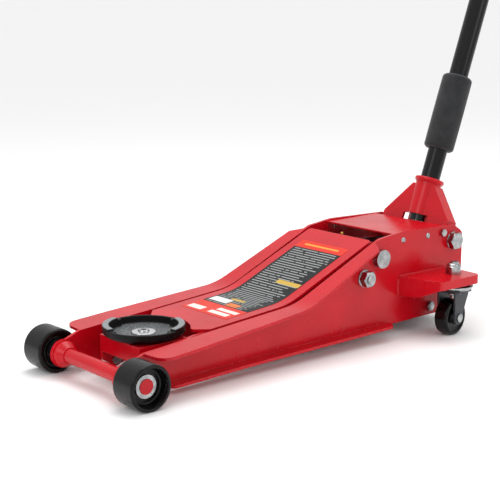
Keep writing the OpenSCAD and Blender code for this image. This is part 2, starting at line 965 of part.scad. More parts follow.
// Cast cup: a thin low wall all round, with two broad raised arcs on opposite sides
module saddle() {
    r = saddle_d / 2;
    low = saddle_top - rim_drop;
    floor_z = saddle_base + saddle_floor_t;
    bore_r = saddle_screw_d / 2 + run;
    color("#202022")
        translate([axle_x - saddle_back, 0, 0]) {
            rotate_extrude()
                polygon(rounded([[bore_r, saddle_base, 0], [r - 20, saddle_base, 3],
                    [r, saddle_base + 9, 5], [r, low, 1], [r - 4, low, 1],
                    [r - 5, floor_z, 1], [bore_r, floor_z, 0]]));
            for (a = arc_places)
                rotate(a) {
                    raised_arc(r, arc_half_angle + arc_step_angle, arc_w + 1, low, floor_z);
                    raised_arc(r, arc_half_angle, arc_w, saddle_top, floor_z);
                }
        }
}

// Thick arc of wall, half_angle to each side of +X
module raised_arc(r, half_angle, w, top, floor_z) {
    rotate(-half_angle)
        rotate_extrude(angle = 2 * half_angle)
            polygon([[r - w, floor_z - 1], [r, floor_z + 6], [r, top - 1], [r - 1, top],
                [r - w + 2, top], [r - w, top - 3]]);
}

module saddle_washer() {
    color("silver")
        translate([axle_x - saddle_back, 0, saddle_base + saddle_floor_t])
            difference() {
                cylinder(d = 41, h = saddle_washer_t);
                translate([0, 0, -1])
                    cylinder(d = saddle_screw_d, h = saddle_washer_t + 2);
            }
}

module saddle_screw() {
    color("#d8d8d8")
        translate([axle_x - saddle_back, 0, 0])
            difference() {
                union() {
                    translate([0, 0, saddle_base - 14])
                        cylinder(d = saddle_screw_d, h = 24);
                    translate([0, 0, saddle_base + saddle_floor_t + saddle_washer_t])
                        cylinder(d1 = 20, d2 = 17, h = 3);
                }
                translate([0, 0, saddle_base + 8])
                    cylinder(d = 9, h = 6, $fn = 6);
            }
}

// ---- Power unit ----
module pump_block() {
    front = axle_x - block_front_back;
    rear = axle_x - block_rear_back;
    color("#3a3c40")
        difference() {
            union() {
                translate([rear, -block_half, block_bottom_z])
                    cube([front - rear, 2 * block_half, block_top_z - block_bottom_z]);
                across(-block_half, block_half)
                    polygon(rounded(from_back([[pump_rear_back, block_top_z - 10, 0],
                        [pump_rear_back, plunger_z + 18, 5], [pump_front_back, plunger_z + 18, 5],
                        [pump_front_back, plunger_z - 15, 3], [block_front_back, plunger_z - 15, 0],
                        [block_front_back, block_top_z - 10, 0]])));
                for (s = [-1, 1], p = unit_bolt_places)
                    scale_y(s)
                        rod_y(p[0], p[1], unit_boss_d, block_half - 2, inner_half);
                for (s = [-1, 1])
                    scale_y(s)
                        rod_y(spring_anchor_back, spring_anchor_z, 8, block_half - 5, spring_y + 5);
            }
            rod_x(block_front_back - 1, bore_rear_back, 0, ram_z, bore_d);
            rod_x(block_front_back - 1, block_front_back + 14, 0, ram_z, cylinder_d);
            for (y = [-plunger_y, plunger_y])
                rod_x(pump_front_back + 6, pump_rear_back + 1, y, plunger_z, plunger_d + 2 * run);
            translate([axle_x - yoke_back, 0, valve_seat_z])
                cylinder(d = valve_d + 2 * run, h = block_top_z - valve_seat_z + 1);
            for (p = unit_bolt_places)
                rod_y(p[0], p[1], unit_bolt_d, -inner_half - 1, inner_half + 1);
        }
}

module hydraulic_cylinder() {
    color("#55575c")
        difference() {
            rod_x(cylinder_front_back, block_front_back + 14, 0, ram_z, cylinder_d);
            rod_x(cylinder_front_back - 1, block_front_back + 15, 0, ram_z, bore_d);
        }
}

// Oil tank round the cylinder, closed at the front by its own ring
module oil_reservoir() {
    front = cylinder_front_back + 2;
    color("#a50d26")
        difference() {
            rod_x(front, block_front_back, 0, ram_z, reservoir_d);
            rod_x(front + 6, block_front_back + 1, 0, ram_z, reservoir_d - 7);
            rod_x(front - 1, block_front_back + 1, 0, ram_z, cylinder_d);
            translate([axle_x - block_front_back + 22, 0, ram_z])
                cylinder(d = 10, h = reservoir_d);
        }
}

module gland_nut() {
    color("#8d8f94")
        difference() {
            rod_x(gland_front_back, cylinder_front_back, 0, ram_z, gland_d);
            rod_x(gland_front_back - 1, cylinder_front_back + 1, 0, ram_z, ram_d + 2 * run);
        }
}

module filler_plug() {
    top = ram_z + reservoir_d / 2;
    color("#151515")
        translate([axle_x - block_front_back + 22, 0, top - 7])
            union() {
                cylinder(d = 10, h = 7);
                translate([0, 0, 7])
                    cylinder(d1 = 15, d2 = 12, h = 2);
            }
}

// Piston, rod and slotted head; the slot lets the lever's pin rise and fall
module hydraulic_ram() {
    head_front = ram_pin_back - ram_head_len / 2;
    slot_w = ram_pin_d + 2 * slot_gap;
    drop = lever_len * (1 - cos(half_swing));
    color("#c9ccd1")
        difference() {
            union() {
                rod_x(ram_pin_back, piston_rear_back, 0, ram_z, ram_d);
                rod_x(piston_rear_back - piston_t, piston_rear_back, 0, ram_z, bore_d - 2 * run);
                across(-ram_head_half, ram_head_half)
                    polygon(rounded(from_back([[head_front, ram_z - ram_head_h / 2, 8],
                        [head_front, ram_z + ram_head_h / 2, 8],
                        [head_front + ram_head_len, ram_z + ram_head_h / 2, 8],
                        [head_front + ram_head_len, ram_z - ram_head_h / 2, 8]])));
            }
            across(-ram_head_half - 1, ram_head_half + 1)
                translate([axle_x - ram_pin_back, 0]) {
                    for (z = [ram_pin_z, ram_pin_z - drop])
                        translate([0, z])
                            circle(d = slot_w);
                    translate([-slot_w / 2, ram_pin_z - drop])
                        square([slot_w, drop]);
                }
        }
}

module pump_plungers() {
    color("#c9ccd1")
        for (y = [-plunger_y, plunger_y]) {
            rod_x(cap_rear_back - plunger_len, cap_front_back + 1, y, plunger_z, plunger_d);
            rod_x(cap_front_back, cap_rear_back, y, plunger_z, cap_d);
        }
}

// Envelopes of the coil springs round the plungers
module plunger_springs() {
    color("#9a9da3")
        for (y = [-plunger_y, plunger_y])
            difference() {
                rod_x(pump_rear_back + 0.5, cap_front_back - 0.5, y, plunger_z, plunger_d + 7);
                rod_x(pump_rear_back, cap_front_back, y, plunger_z, plunger_d + 2);
            }
}

// Envelopes of the two coil springs that draw the ram back
module return_springs() {
    color("#9a9da3")
        for (y = [-spring_y, spring_y])
            difference() {
                rod_x(ram_pin_back + 10, spring_anchor_back - 8, y, spring_anchor_z, spring_d);
                rod_x(ram_pin_back + 9, spring_anchor_back - 7, y, spring_anchor_z, spring_d - 4);
            }
}

module unit_bolts() {
    color("silver")
        for (s = [-1, 1], p = unit_bolt_places)
            scale_y(s) {
                rod_y(p[0], p[1], unit_bolt_d, inner_half - 28, plate_out);
                hex_y(p[0], p[1], 17, plate_out, plate_out + 7);
            }
}

// Screw-down valve; the cup on top takes the handle's driver
module release_valve() {
    cup_top = yoke_z - 3.6;
    color("#b08d3c")
        translate([axle_x - yoke_back, 0, 0])
            difference() {
                union() {
                    translate([0, 0, valve_seat_z + gap])
                        cylinder(d = valve_d, h = block_top_z - valve_seat_z + 10);
                    translate([0, 0, block_top_z + 1])
                        cylinder(d = 22, h = cup_top - block_top_z - 1);
                }
                translate([0, 0, yoke_z])
                    sphere(r = ball_r + gap);
                translate([0, 0, yoke_z - 5])
                    cylinder(r = ball_r + gap, h = 5);
            }
}

// ---- Handle ----
// Turns a shape from the yoke's own frame, +Z along the handle and +X forward
module at_yoke() {
    translate([axle_x - yoke_back, 0, yoke_z])
        rotate([0, -handle_lean, 0])
            children();
}

module cheek_outline() {
    polygon(rounded([[-14, 0, 0], [-12, yoke_shoulder_u, 0], [yoke_front_v, yoke_shoulder_u, 0],
        [18, 0, 0], [push_v + 12, push_u, 0], [push_v - 12, push_u, 0]]));
    circle(r = 18);
    translate([push_v, push_u])
        circle(r = 13);
}

// Folded yoke: cheeks on the pivot bolts, a sloping front and side sheets, and a socket tube
module handle_yoke() {
    front0 = yoke_front_v - yoke_sheet;
    top_half = socket_d / 2 + 3;
    color("#c8102e")
        at_yoke()
            difference() {
                union() {
                    for (y = [-cheek_out, cheek_out - cheek_t])
                        across(y, y + cheek_t)
                            cheek_outline();
                    translate([front0, 0, 0])
                        rotate([90, 0, 90])
                            linear_extrude(yoke_sheet)
                                polygon([[-cheek_out, yoke_foot_u], [-cheek_out, yoke_shoulder_u],
                                    [-top_half, yoke_top_u], [top_half, yoke_top_u],
                                    [cheek_out, yoke_shoulder_u], [cheek_out, yoke_foot_u],
                                    [yoke_slot_half + 2, yoke_foot_u], [yoke_slot_half, yoke_slot_u],
                                    [-yoke_slot_half, yoke_slot_u], [-yoke_slot_half - 2, yoke_foot_u]]);
                    for (s = [-1, 1])
                        scale_y(s)
                            translate([-12, 0, 0])
                                rotate([90, 0, 90])
                                    linear_extrude(yoke_front_v + 12)
                                        polygon([[cheek_out, yoke_shoulder_u - 3],
                                            [cheek_out, yoke_shoulder_u],
                                            [top_half, yoke_top_u], [top_half - 7, yoke_top_u],
                                            [cheek_out - 8, yoke_shoulder_u - 3]]);
                    translate([0, 0, socket_bottom_u])
                        cylinder(d = socket_d, h = collar_top_u - socket_bottom_u);
                    translate([0, 0, collar_top_u - collar_t])
                        rotate_extrude()
                            polygon(rounded([[handle_d / 2 + run, 0, 0], [collar_d / 2, 0, 3],
                                [collar_d / 2, collar_t, 3], [handle_d / 2 + run, collar_t, 0]]));
                }
                translate([0, 0, socket_bottom_u - 1])
                    cylinder(d = handle_d + 2 * run, h = collar_top_u);
                translate([0, 0, -1])
                    cylinder(d = handle_d + 2 * run, h = socket_bottom_u + 2);
                translate([yoke_slot_v, -yoke_slot_half, socket_bottom_u - 1])
                    cube([socket_d, 2 * yoke_slot_half, yoke_slot_u - socket_bottom_u + 1]);
                translate([0, cheek_out + 1, 0])
                    rotate([90, 0, 0])
                        cylinder(d = yoke_bolt_d + 2 * run, h = 2 * cheek_out + 2);
                translate([push_v, cheek_out + 1, push_u])
                    rotate([90, 0, 0])
                        cylinder(d = push_pin_d, h = 2 * cheek_out + 2);
                translate([-socket_d, 0, lock_u])
                    rotate([0, 90, 0])
                        cylinder(d = lock_d, h = socket_d);
            }
}

// Pins in the cheeks that press the pump plungers
module push_pins() {
    color("silver")
        at_yoke()
            for (s = [-1, 1])
                scale_y(s)
                    translate([push_v, cheek_out, push_u])
                        rotate([90, 0, 0])
                            cylinder(d = push_pin_d, h = cheek_out - 16);
}

module yoke_pivot_bolts() {
    color("silver")
        for (s = [-1, 1])
            scale_y(s) {
                rod_y(yoke_back, yoke_z, yoke_bolt_d, cheek_out - cheek_t - 2, plate_out + 1);
                rod_y(yoke_back, yoke_z, 33, plate_out, plate_out + 2);
                hex_y(yoke_back, yoke_z, 30, plate_out + 2, plate_out + 14);
            }
}

module handle_lower_tube() {
    color("#17181a")
        at_yoke()
            translate([0, 0, lower_start_u])
                difference() {
                    cylinder(d = handle_d, h = lower_end_u - lower_start_u);
                    translate([0, 0, -1])
                        cylinder(d = upper_d, h = lower_end_u - lower_start_u + 2);
                }
}

module handle_upper_tube() {
    color("#17181a")
        at_yoke()
            translate([0, 0, upper_start_u])
                difference() {
                    cylinder(d = upper_d, h = handle_reach - 6 - upper_start_u);
                    translate([0, 0, -1])
                        cylinder(d = upper_d - 5, h = handle_reach - upper_start_u);
                }
}

// Foam sleeve that keeps the handle off a car's bumper
module handle_bumper() {
    r = bumper_d / 2;
    color("#2b2c2e")
        at_yoke()
            translate([0, 0, bumper_start_u])
                rotate_extrude()
                    polygon(rounded([[handle_d / 2, 0, 0], [r, 0, 5], [r, bumper_len, 5],
                        [handle_d / 2, bumper_len, 0]]));
}

module handle_grip() {
    r = grip_d / 2;
    start = handle_reach - grip_len;
    color("#1c1c1e")
        at_yoke()
            difference() {
                translate([0, 0, start])
                    rotate_extrude()
                        polygon(rounded([[0, 0, 0], [r, 0, 2], [r, grip_len, grip_edge], [0, grip_len, 0]]));
                translate([0, 0, start - 1])
                    cylinder(d = upper_d, h = grip_len - 5);
            }
}

// Plug in the foot of the handle, with a stem and a ball that turns the release valve
module release_driver() {
    color("#8d8f94")
        at_yoke() {
            translate([0, 0, lower_start_u])
                cylinder(d = upper_d, h = 14);
            cylinder(d = 8, h = lower_start_u + 2);
            sphere(r = ball_r);
        }
}

// Bolt through the back of the socket that keeps the handle in
module handle_lock_bolt() {
    r = socket_d / 2;
    color("silver")
        at_yoke()
            translate([-r, 0, lock_u])
                rotate([0, 90, 0]) {
                    cylinder(d = lock_d, h = r - handle_d / 2 - gap);
                    translate([0, 0, -6])
                        cylinder(d = 13 / cos(30), h = 6, $fn = 6);
                }
}

left_side_plate();
right_side_plate();
front_axle();
axle_bosses();
axle_washers();
left_front_wheel();
right_front_wheel();
rear_cover();
cover_screws();
cover_bolts();
left_caster_bracket();
right_caster_bracket();
caster_kingpins();
caster_nuts();
caster_races();
left_caster_fork();
right_caster_fork();
left_caster_wheel();
right_caster_wheel();
left_caster_axle();
right_caster_axle();
arm_pivot_shaft();
left_arm_plate();
right_arm_plate();
arm_top_plate();
arm_ribs();
pivot_sleeve();
ram_levers();
ram_pin();
grease_nipple();
anchor_bolts();
anchor_nuts();
left_tie_rod();
right_tie_rod();
saddle_bracket();
saddle_pin();
tie_rod_pins();
saddle();
saddle_washer();
saddle_screw();
pump_block();
hydraulic_cylinder();
oil_reservoir();
gland_nut();
filler_plug();
hydraulic_ram();
pump_plungers();
plunger_springs();
return_springs();
unit_bolts();
release_valve();
handle_yoke();
push_pins();
yoke_pivot_bolts();
handle_lower_tube();
handle_upper_tube();
handle_bumper();
handle_grip();
release_driver();
handle_lock_bolt();
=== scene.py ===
import json
import math

import bpy
import numpy as np
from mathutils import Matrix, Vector


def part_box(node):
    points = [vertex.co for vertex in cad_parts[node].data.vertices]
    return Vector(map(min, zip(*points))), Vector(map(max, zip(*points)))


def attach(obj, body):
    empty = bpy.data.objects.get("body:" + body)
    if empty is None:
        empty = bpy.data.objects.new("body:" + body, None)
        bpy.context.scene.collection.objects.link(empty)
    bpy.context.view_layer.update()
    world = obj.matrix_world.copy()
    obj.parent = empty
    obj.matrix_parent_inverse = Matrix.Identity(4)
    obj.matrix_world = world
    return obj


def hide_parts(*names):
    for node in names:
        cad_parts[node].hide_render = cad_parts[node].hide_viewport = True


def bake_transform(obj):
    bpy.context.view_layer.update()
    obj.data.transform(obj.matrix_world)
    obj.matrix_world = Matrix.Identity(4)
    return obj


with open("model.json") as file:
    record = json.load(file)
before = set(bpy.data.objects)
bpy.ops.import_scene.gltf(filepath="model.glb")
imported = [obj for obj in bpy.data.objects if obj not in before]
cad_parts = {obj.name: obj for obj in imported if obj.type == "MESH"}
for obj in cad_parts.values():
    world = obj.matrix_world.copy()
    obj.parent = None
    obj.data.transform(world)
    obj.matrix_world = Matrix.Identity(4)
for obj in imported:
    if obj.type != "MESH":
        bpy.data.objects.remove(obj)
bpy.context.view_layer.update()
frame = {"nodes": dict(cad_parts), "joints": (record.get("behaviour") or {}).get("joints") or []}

# ---- Camera, floor and light ----
# A plain pale studio sweep, lit by one broad soft box overhead and two weaker ones at the sides,
# so that upward faces pick up a pale sheen and upright faces keep their full colour.
scene = bpy.context.scene
scene.view_settings.view_transform = "Standard"

AZIMUTH = math.radians(140.0)
ELEVATION = math.radians(11.57)
camera_place = Vector((1.602, 1.645, 0.625))
lens = bpy.data.cameras.new("camera")
lens.lens = 89.7
lens.sensor_width = 36.0
lens.clip_start = 0.05
camera = bpy.data.objects.new("camera", lens)
scene.collection.objects.link(camera)
camera.location = camera_place
looking = Vector((-math.sin(AZIMUTH) * math.cos(ELEVATION),
                  math.cos(AZIMUTH) * math.cos(ELEVATION), -math.sin(ELEVATION)))
camera.rotation_euler = looking.to_track_quat("-Z", "Y").to_euler()
scene.camera = camera


def linear(code):
    """Turns an sRGB hex colour into linear red, green, blue and alpha."""
    parts = np.array([int(code[i:i + 2], 16) for i in (1, 3, 5)]) / 255
    light = np.where(parts <= 0.04045, parts / 12.92, ((parts + 0.055) / 1.055) ** 2.4)
    return (*light.tolist(), 1.0)


def add(material, kind, settings=(), links=()):
    """Adds a node. settings maps a property or an input's name to its value, links an input to an output."""
    made = material.node_tree.nodes.new(kind)
    for name, value in dict(settings).items():
        if name in made.inputs:
            made.inputs[name].default_value = value
        else:
            setattr(made, name, value)
    for name, output in dict(links).items():
        material.node_tree.links.new(output, made.inputs[name])
    return made


def blank(name):
    """A material with no nodes in it."""
    material = bpy.data.materials.new(name)
    material.use_nodes = True
    material.node_tree.nodes.clear()
    return material


def finish_material(material, shader):
    """Joins a shader to the material's output."""
    end = add(material, "ShaderNodeOutputMaterial")
    material.node_tree.links.new(shader.outputs[0], end.inputs["Surface"])
    return material


def mesh_piece(name, points, faces, smooth=True):
    """Makes an object at the origin from arrays of points and of quads, in metres."""
    data = bpy.data.meshes.new(name)
    data.from_pydata(np.asarray(points, float).reshape(-1, 3).tolist(), [], np.asarray(faces).tolist())
    data.update()
    data.shade_smooth() if smooth else data.shade_flat()
    piece = bpy.data.objects.new(name, data)
    scene.collection.objects.link(piece)
    return piece


def grid_faces(rows, columns, wrap_rows=False, wrap_columns=False):
    """The quads of a grid of points held row by row; a wrapped side joins its last line to its first."""
    r = np.arange(rows if wrap_rows else rows - 1)
    c = np.arange(columns if wrap_columns else columns - 1)
    r0, c0 = np.meshgrid(r, c, indexing="ij")
    r1, c1 = (r0 + 1) % rows, (c0 + 1) % columns
    quad = np.stack([r0 * columns + c0, r0 * columns + c1, r1 * columns + c1, r1 * columns + c0], -1)
    return quad.reshape(-1, 4)


floor_half = 400.0
corner = np.array([[-1, -1, 0], [1, -1, 0], [1, 1, 0], [-1, 1, 0]], float) * floor_half
floor = mesh_piece("floor", corner, [[0, 1, 2, 3]], smooth=False)
paper = blank("white_paper_sweep")
floor.data.materials.append(finish_material(paper, add(
    paper, "ShaderNodeBsdfPrincipled", {"Base Color": linear("#fbfbfb"), "Roughness": 0.9})))

# The sky is a little brighter overhead than at its edge: strength = 0.8 + 0.25 x height.
world = bpy.data.worlds.new("studio")
world.use_nodes = True
sky = add(world, "ShaderNodeTexCoord").outputs["Generated"]
sky_height = add(world, "ShaderNodeSeparateXYZ", links={"Vector": sky}).outputs["Z"]
sky_strength = add(world, "ShaderNodeMapRange", {"From Min": 0.0, "From Max": 1.0, "To Min": 0.72,
                                                 "To Max": 1.05}, {"Value": sky_height}).outputs["Result"]
world.node_tree.links.new(sky_strength, world.node_tree.nodes["Background"].inputs["Strength"])
world.node_tree.nodes["Background"].inputs["Color"].default_value = linear("#ffffff")
scene.world = world


def soft_box(name, place, width, power):
    """A square area light that points at the middle of the jack."""
    data = bpy.data.lights.new(name, "AREA")
    data.size = width
    data.energy = power
    light = bpy.data.objects.new(name, data)
    light.location = place
    light.rotation_euler = (Vector((0, 0, 0.1)) - Vector(place)).to_track_quat("-Z", "Y").to_euler()
    scene.collection.objects.link(light)


soft_box("overhead", (-0.2, -0.4, 2.4), 1.6, 26)
soft_box("front_left", (2.2, 0.4, 1.2), 1.0, 6)
soft_box("rear_left", (-0.8, 2.2, 1.4), 1.2, 6)

# ---- Side plates and every other painted pressing ----
# Pressed and welded 6 mm steel plate, sprayed and baked red. Baked enamel flows to a gloss with
# a faint orange peel about 3 mm across, chips along sheared edges and gathers dust. The paler line
# laid on its edges is partly that wear and partly a painted highlight.
MM = 0.001


def noise(material, coordinates, size_mm, detail=3.0, roughness=0.5):
    """A noise pattern whose blotches are about size_mm across, from Object coordinates."""
    return add(material, "ShaderNodeTexNoise",
               {"Scale": 1 / (size_mm * MM), "Detail": detail, "Roughness": roughness},
               {"Vector": coordinates})


def ramp(material, value, low, high, to_low=0.0, to_high=1.0):
    """Maps a value from low..high to to_low..to_high, held inside that range."""
    return add(material, "ShaderNodeMapRange",
               {"From Min": low, "From Max": high, "To Min": to_low, "To Max": to_high},
               {"Value": value}).outputs["Result"]


def mix(material, factor, first, second):
    """Mixes two colours; each is a colour or another node's output."""
    made = add(material, "ShaderNodeMix", {"data_type": "RGBA"})
    for socket, value in ((made.inputs[6], first), (made.inputs[7], second)):
        if isinstance(value, tuple):
            socket.default_value = value
        else:
            material.node_tree.links.new(value, socket)
    material.node_tree.links.new(factor, made.inputs[0])
    return made.outputs[2]


def worn_and_highlit_edge_mask(material, radius_mm, coordinates):
    """1 on edges and 0 on flats: how far a rounded normal turns from the true one, broken up. It places a paler edge
    colour that is partly wear and partly a painted highlight.
    """
    rounded = add(material, "ShaderNodeBevel", {"samples": 6, "Radius": radius_mm * MM})
    flat = add(material, "ShaderNodeNewGeometry")
    dot = add(material, "ShaderNodeVectorMath", {"operation": "DOT_PRODUCT"})
    material.node_tree.links.new(rounded.outputs["Normal"], dot.inputs[0])
    material.node_tree.links.new(flat.outputs["Normal"], dot.inputs[1])
    edge = ramp(material, dot.outputs["Value"], 0.995, 0.90)
    patchy = ramp(material, noise(material, coordinates, 9).outputs[0], 0.42, 0.62)
    both = add(material, "ShaderNodeMath", {"operation": "MULTIPLY"})
    material.node_tree.links.new(edge, both.inputs[0])
    material.node_tree.links.new(patchy, both.inputs[1])
    return both.outputs[0], rounded


def enamel(name, colour, deep, worn, peel_mm=3.0, gloss=0.2, shine=0.3):
    """Baked enamel: cloudy colour, orange peel, soft edges and a paler line on edges that is partly wear and partly a
    painted highlight.
    """
    material = blank(name)
    place = add(material, "ShaderNodeTexCoord").outputs["Object"]
    cloud = ramp(material, noise(material, place, 70).outputs[0], 0.35, 0.65)
    colour_out = mix(material, cloud, linear(colour), linear(deep))
    edge, rounded = worn_and_highlit_edge_mask(material, 1.1, place)
    # The worn colour on edges is partly chipped wear and partly a painted highlight.
    colour_out = mix(material, edge, colour_out, linear(worn))
    dust = ramp(material, noise(material, place, 25, 5).outputs[0], 0.4, 0.75, gloss, gloss + 0.1)
    peel = add(material, "ShaderNodeBump", {"Strength": 0.05, "Distance": 0.0004},
               {"Height": noise(material, place, peel_mm, 2).outputs[0],
                "Normal": rounded.outputs["Normal"]})
    shader = add(material, "ShaderNodeBsdfPrincipled", {"IOR": 1.5, "Specular IOR Level": shine},
                 {"Base Color": colour_out, "Roughness": dust, "Normal": peel.outputs["Normal"]})
    return finish_material(material, shader)


def paint(material, *names):
    """Gives CAD nodes one material."""
    for name in names:
        data = frame["nodes"][name].data
        data.materials.clear()
        data.materials.append(material)


# The third colour of each enamel is its paler edge colour: partly wear, partly a painted highlight.
red_enamel = enamel("baked_red_enamel", "#c6071a", "#ba0617", "#e0555e")
paint(red_enamel, "left_side_plate", "right_side_plate", "front_axle", "axle_bosses", "rear_cover",
      "left_caster_bracket", "right_caster_bracket", "left_arm_plate", "right_arm_plate",
      "arm_top_plate", "arm_ribs", "pivot_sleeve", "saddle_bracket", "handle_yoke")
dark_red = enamel("thin_red_enamel", "#a80a1c", "#8f0818", "#b9545c", gloss=0.3)
paint(dark_red, "ram_levers", "left_tie_rod", "right_tie_rod", "oil_reservoir")

# ---- Bright fasteners and pins ----
# Turned and cold-headed steel, zinc plated. Plating is a pale bluish metal with faint cloudy
# patches, fine turning marks across it and duller, greyer spots where a spanner has rubbed.


def plated(name, colour, dull, rough=0.28, metallic=1.0, cloud_mm=14):
    """Plated or ground metal: cloudy colour and roughness, fine turning marks, softened edges lightened towards near
    white, partly wear and partly a painted highlight.
    """
    material = blank(name)
    place = add(material, "ShaderNodeTexCoord").outputs["Object"]
    cloud = ramp(material, noise(material, place, cloud_mm, 4).outputs[0], 0.35, 0.68)
    edge, rounded = worn_and_highlit_edge_mask(material, 0.6, place)
    rubbed = mix(material, cloud, linear(colour), linear(dull))
    rough_out = ramp(material, noise(material, place, 6, 4).outputs[0], 0.3, 0.7, rough - 0.07, rough + 0.12)
    marks = add(material, "ShaderNodeBump", {"Strength": 0.12, "Distance": 0.00015},
                {"Height": noise(material, place, 0.9, 2).outputs[0],
                 "Normal": rounded.outputs["Normal"]})
    shader = add(material, "ShaderNodeBsdfPrincipled", {"Metallic": metallic},
                 # Edges are mixed towards near white #f2f3f4: partly rubbed edges, partly a painted highlight.
                 {"Base Color": mix(material, edge, rubbed, linear("#f2f3f4")),
                  "Roughness": rough_out, "Normal": marks.outputs["Normal"]})
    return finish_material(material, shader)


zinc = plated("bright_zinc_plate", "#b4b6b6", "#85878a", 0.2)
paint(zinc, "axle_washers", "caster_kingpins", "caster_races", "arm_pivot_shaft", "anchor_bolts",
      "saddle_pin", "tie_rod_pins", "push_pins", "ram_pin", "left_caster_axle",
      "right_caster_axle", "handle_lock_bolt", "release_driver")


def middle(node):
    """The middle of a CAD node's box."""
    low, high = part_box(node)
    return (np.array(low) + np.array(high)) / 2


def across_axis(axis):
    """The axis as a unit vector, with two more at right angles to it."""
    w = np.asarray(axis, float) / np.linalg.norm(axis)
    u = np.cross(w, [0, 0, 1.0] if abs(w[2]) < 0.9 else [1.0, 0, 0])
    u = u / np.linalg.norm(u)
    return w, u, np.cross(w, u)


def turned(profile, centre, axis, steps=64):
    """A profile of [radius, height] pairs in mm carried round an axis: centre + height along it + radius round it."""
    w, u, v = across_axis(axis)
    p = np.asarray(profile, float) * MM
    t = np.linspace(0, 2 * np.pi, steps, endpoint=False)
    ring = np.cos(t)[None, :, None] * u + np.sin(t)[None, :, None] * v
    points = np.asarray(centre) + p[:, 1, None, None] * w + p[:, 0, None, None] * ring
    return points.reshape(-1, 3), grid_faces(len(p), steps, wrap_columns=True)


def hexagon(across, height, centre, axis, steps=96):
    """A hexagon head. Radius is apothem / cos(angle from the flat's middle); its top edge drops by
    tan 30 times how far that radius passes the chamfer circle, which gives the curved chamfer."""
    w, u, v = across_axis(axis)
    t = np.linspace(0, 2 * np.pi, steps, endpoint=False)
    wide = across / 2 / np.cos((t % (np.pi / 3)) - np.pi / 6)
    flat = 0.95 * across / 2
    rows = np.array([np.zeros(steps), wide, wide, np.full(steps, flat), np.full(steps, flat - 0.6),
                     np.zeros(steps)])
    drop = (wide - flat) * math.tan(math.radians(30))
    level = np.array([np.zeros(steps), np.zeros(steps), height - drop, np.full(steps, height),
                      np.full(steps, height), np.full(steps, height)])
    ring = np.cos(t)[None, :, None] * u + np.sin(t)[None, :, None] * v
    points = np.asarray(centre) + level[..., None] * MM * w + rows[..., None] * MM * ring
    return points.reshape(-1, 3), grid_faces(len(rows), steps, wrap_columns=True)


def assemble(name, parts, material, body=None, replaced=(), smooth_angle=35):
    """Joins parts into one piece, merges doubled points, turns faces outwards and rides it on a body.
    A piece with no body is left free."""
    import bmesh
    points, faces, start = [], [], 0
    for p, f in parts:
        points.append(p)
        faces.append(f + start)
        start += len(p)
    piece = mesh_piece(name, np.concatenate(points), np.concatenate(faces))
    shape = bmesh.new()
    shape.from_mesh(piece.data)
    bmesh.ops.remove_doubles(shape, verts=shape.verts, dist=1e-6)
    bmesh.ops.dissolve_degenerate(shape, edges=shape.edges, dist=1e-7)
    bmesh.ops.recalc_face_normals(shape, faces=shape.faces)
    shape.to_mesh(piece.data)
    shape.free()
    piece.data.shade_smooth()
    piece.data.set_sharp_from_angle(angle=math.radians(smooth_angle))
    piece.data.materials.append(material)
    if body:
        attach(piece, body)
    if replaced:
        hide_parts(*replaced)
    return piece


def rod(radius, length, centre, axis):
    """A plain round bar with a small bevel at each end."""
    return turned([[0, 0], [radius - 0.5, 0], [radius, 0.5], [radius, length - 0.5],
                   [radius - 0.5, length], [0, length]], centre, axis, 48)


plate_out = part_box("left_side_plate")[0].y + 0.006

# Nuts and bolts on the side plates: each is a chamfered hexagon on a flat washer.


def side_bolts(name, node, places, shank, across, height, washer, shank_in):
    """Hexagon bolts on both side plates. washer is its radius and thickness, shank_in how deep they go."""
    parts = []
    for x, z in places:
        for side in (-1, 1):
            out = (0, side, 0)
            face = np.array([x, side * plate_out, z])
            step = np.array([0, side * MM, 0])
            parts.append(rod(shank, shank_in + washer[1] + 1, face - step * shank_in, out))
            if washer[0]:
                parts.append(turned([[0, 0], [washer[0] - 0.3, 0], [washer[0], 0.3],
                                     [washer[0], washer[1] - 0.3], [washer[0] - 0.5, washer[1]],
                                     [0, washer[1]]], face, out))
            parts.append(hexagon(across, height, face + step * washer[1], out))
    return assemble(name, parts, zinc, "frame", [node])


anchor = middle("anchor_nuts")
side_bolts("tie_rod_anchor_nuts", "anchor_nuts", [(anchor[0], anchor[2])], 8, 27, 14, (16, 3), 1)
yoke_bolt = middle("yoke_pivot_bolts")
side_bolts("yoke_hinge_bolts", "yoke_pivot_bolts", [(yoke_bolt[0], yoke_bolt[2])], 10, 30, 12,
           (16.5, 2), 21)
lid_bolt = middle("cover_bolts")
side_bolts("lid_bolts", "cover_bolts", [(lid_bolt[0], lid_bolt[2])], 4, 13, 6, (0, 0), 8.9)
unit_low, unit_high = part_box("unit_bolts")
unit_places = [(unit_high.x - 0.00981, unit_low.z + 0.00981),
               (unit_low.x + 0.00981, unit_high.z - 0.00981)]
side_bolts("power_unit_bolts", "unit_bolts", unit_places, 5, 17, 7, (0, 0), 33.9)

# Blind rivets of the lid: low domes with the broken mandrel in the middle.
rivet_low, rivet_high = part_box("cover_screws")
rivets = []
for x in (rivet_low.x + 0.0055, rivet_high.x - 0.0055):
    for side in (-1, 1):
        face = np.array([x, side * plate_out, (rivet_low.z + rivet_high.z) / 2])
        rivets.append(turned([[0, -8.5], [2.5, -8.5], [2.5, 0], [5.5, 0], [5.3, 0.7], [4.2, 1.5],
                              [2.6, 1.9], [1.5, 1.9], [1.4, 1.2], [0, 1.2]], face, (0, side, 0), 40))
assemble("lid_rivets", rivets, zinc, "frame", ["cover_screws"])

# ---- Welds ----
# Robot-laid beads that join the pressings before they are painted. A bead is a low rope of
# overlapping ripples, one every 3 mm or so, and takes the same enamel as the plate.


